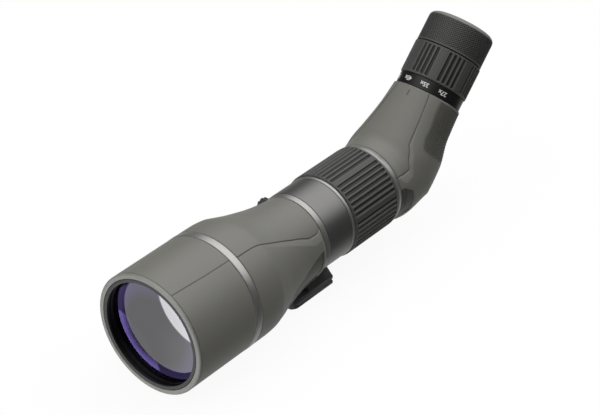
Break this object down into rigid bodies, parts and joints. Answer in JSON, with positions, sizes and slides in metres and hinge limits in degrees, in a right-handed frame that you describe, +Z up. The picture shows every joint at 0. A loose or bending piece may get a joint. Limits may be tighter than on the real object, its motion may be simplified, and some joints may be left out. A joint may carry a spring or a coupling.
{
  "type": "spotting scope",
  "caption": "Angled spotting scope with sliding lens shade, rotating tripod collar and foot, focus ring, zoom ring and twist-up eyecup.",
  "frame": {"origin": "centre of the tripod foot's flat bottom face", "axes": "+Z up from the foot, +Y from the objective towards the eyepiece along the optical axis, +X to the right seen from behind the eyepiece"},
  "size_m": [0.0978, 0.3943, 0.1591],
  "materials": {
    "armour": "satin warm grey-green moulded skin",
    "collar_metal": "satin gunmetal anodised",
    "bright_ring": "bright turned",
    "rim_metal": "satin anodised, warm grey",
    "black_metal": "matt black anodised",
    "foot_black": "satin black hard anodised",
    "knob_plastic": "moulded, lightly textured",
    "black_plastic": "matt",
    "scale_black": "satin black, white dial numbers",
    "grip_rubber": "ribbed charcoal",
    "eyecup_rubber": "diamond knurl, smooth crown",
    "seal_rubber": "smooth",
    "felt": "black felt band",
    "coated_glass": "polished, violet coating",
    "steel": "plain",
    "brass": "turned"
  },
  "bodies": {
    "mount": {"tripod_collar": "collar_metal", "collar_liner": "black_plastic", "mounting_foot": "foot_black", "foot_screw_front": "steel", "foot_screw_rear": "steel", "tripod_thread_insert": "steel", "lock_bush": "brass"},
    "lock_knob": {"lock_knob": "knob_plastic", "lock_screw": "steel", "lock_screw_tip": "brass"},
    "barrel": {"main_body": "black_metal", "body_armour": "armour", "accent_ring_front": "bright_ring", "accent_ring_body": "bright_ring", "collar_retaining_ring": "bright_ring", "accent_ring_prism": "bright_ring", "objective_cell": "black_metal", "objective_retaining_ring": "black_metal", "objective_lens_front": "coated_glass", "objective_spacer": "black_metal", "objective_lens_rear": "coated_glass", "objective_seal": "seal_rubber", "shade_friction_ring": "felt", "baffle_ring_front": "black_plastic", "baffle_ring_rear": "black_plastic", "focus_seal_front": "seal_rubber", "focus_seal_rear": "seal_rubber", "prism_housing": "black_metal", "prism_armour": "armour", "erecting_prism": "coated_glass", "prism_cradle": "black_metal", "prism_clamp": "steel", "prism_screw_left": "steel", "prism_screw_right": "steel", "eyepiece_tube": "black_metal", "eyepiece_seal": "seal_rubber", "eye_lens_cell": "black_metal", "eye_lens": "coated_glass", "eye_lens_ring": "black_metal"},
    "lens_shade": {"lens_shade": "armour", "lens_shade_rim": "rim_metal"},
    "focus_ring": {"focus_ring": "black_metal", "focus_grip": "grip_rubber"},
    "focus_cell": {"focusing_cell": "black_metal", "focusing_lens": "coated_glass", "focus_pin": "steel"},
    "zoom_ring": {"zoom_cam_sleeve": "black_metal", "zoom_scale_band": "scale_black", "zoom_grip": "grip_rubber"},
    "zoom_front": {"zoom_cell_front": "black_metal", "zoom_lens_front": "coated_glass"},
    "zoom_rear": {"zoom_cell_rear": "black_metal", "zoom_lens_rear": "coated_glass"},
    "eyecup_ring": {"eyecup_cam_ring": "black_plastic"},
    "eyecup": {"eyecup_sleeve": "black_plastic", "eyecup_grip": "eyecup_rubber"}
  },
  "joints": [
    {"name": "barrel_turn", "type": "hinge", "parent": "mount", "child": "barrel", "pos_m": [0, 0, 0.0505], "axis": [0, 1, 0], "continuous": true},
    {"name": "lock_knob_turn", "type": "hinge", "parent": "mount", "child": "lock_knob", "pos_m": [-0.042, 0.013, 0.0505], "axis": [-1, 0, 0], "range_deg": [0, 360]},
    {"name": "lens_shade_slide", "type": "slide", "parent": "barrel", "child": "lens_shade", "axis": [0, -1, 0], "range_m": [0, 0.04]},
    {"name": "focus_turn", "type": "hinge", "parent": "barrel", "child": "focus_ring", "pos_m": [0, 0.0573, 0.0505], "axis": [0, 1, 0], "range_deg": [-280, 280]},
    {"name": "focus_slide", "type": "slide", "parent": "barrel", "child": "focus_cell", "axis": [0, 1, 0], "range_m": [-0.009, 0.009]},
    {"name": "zoom_turn", "type": "hinge", "parent": "barrel", "child": "zoom_ring", "pos_m": [0, 0.18, 0.1098], "axis": [0, 0.7071, 0.7071], "range_deg": [-70, 60]},
    {"name": "zoom_front_slide", "type": "slide", "parent": "barrel", "child": "zoom_front", "axis": [0, 0.7071, 0.7071], "range_m": [-0.0045, 0.0045]},
    {"name": "zoom_rear_slide", "type": "slide", "parent": "barrel", "child": "zoom_rear", "axis": [0, 0.7071, 0.7071], "range_m": [-0.003, 0.003]},
    {"name": "eyecup_turn", "type": "hinge", "parent": "barrel", "child": "eyecup_ring", "pos_m": [0, 0.198, 0.12775], "axis": [0, 0.7071, 0.7071], "range_deg": [0, 120]},
    {"name": "eyecup_slide", "type": "slide", "parent": "eyecup_ring", "child": "eyecup", "axis": [0, 0.7071, 0.7071], "range_m": [0, 0.01]}
  ],
  "couplings": [
    {"joint": "focus_slide", "follows": "focus_turn", "m_per_rad": 0.0018},
    {"joint": "zoom_front_slide", "follows": "zoom_turn", "m_per_rad": 0.0035},
    {"joint": "zoom_rear_slide", "follows": "zoom_turn", "m_per_rad": -0.0022},
    {"joint": "eyecup_slide", "follows": "eyecup_turn", "m_per_rad": 0.00477}
  ]
}
